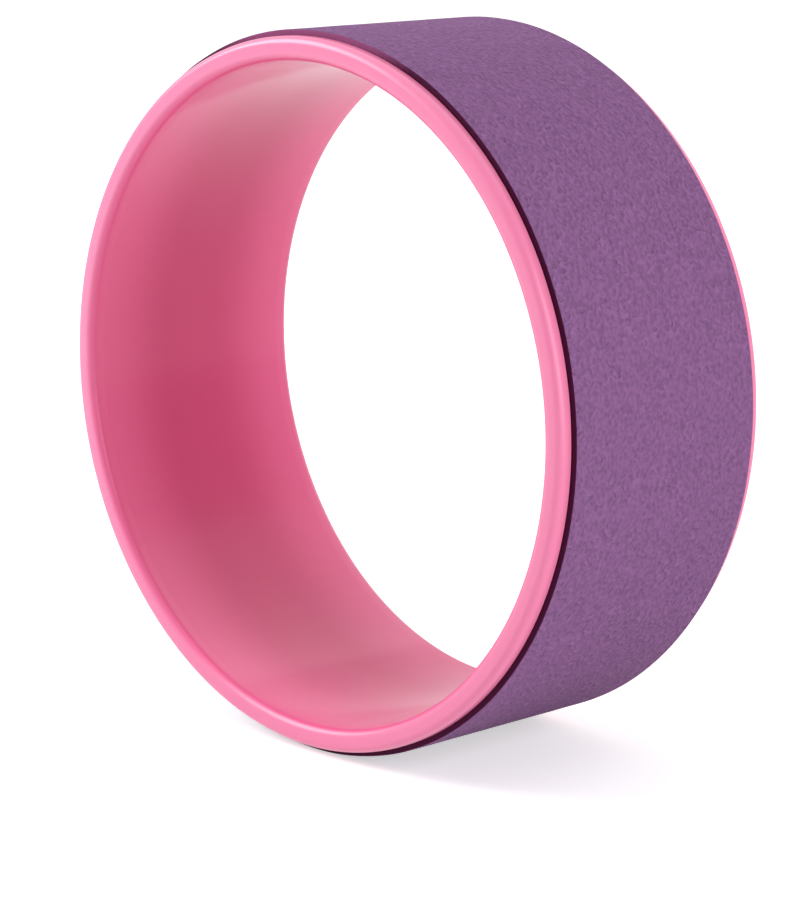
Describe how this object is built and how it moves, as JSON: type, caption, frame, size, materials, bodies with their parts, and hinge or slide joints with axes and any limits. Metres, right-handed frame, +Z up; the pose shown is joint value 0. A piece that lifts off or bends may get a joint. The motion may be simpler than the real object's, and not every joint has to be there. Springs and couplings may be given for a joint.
{
  "type": "yoga wheel",
  "caption": "Wide plastic hoop with rounded rims and a soft foam tread strip, used as a rolling support for stretching.",
  "frame": {"origin": "the wheel's centre: on the axle line, midway between the rim faces, 165 mm above the floor it stands on", "axes": "+Y along the axle line towards the rear rim, +Z up, +X to the right when looking at the front rim"},
  "size_m": [0.33, 0.127, 0.33],
  "materials": {
    "hoop_plastic": "glossy ABS, pink all through",
    "rim_plastic": "glossy moulded ABS, pink all through",
    "pad_foam": "matte foamed TPE with a fine embossed grain",
    "adhesive_film": "translucent double-sided film",
    "cement": "cured solvent cement"
  },
  "bodies": {
    "root": {"hoop": "hoop_plastic", "front_rim": "rim_plastic", "rear_rim": "rim_plastic", "front_rim_cement": "cement", "rear_rim_cement": "cement", "pad_adhesive_film": "adhesive_film", "foam_pad": "pad_foam"}
  },
  "joints": []
}
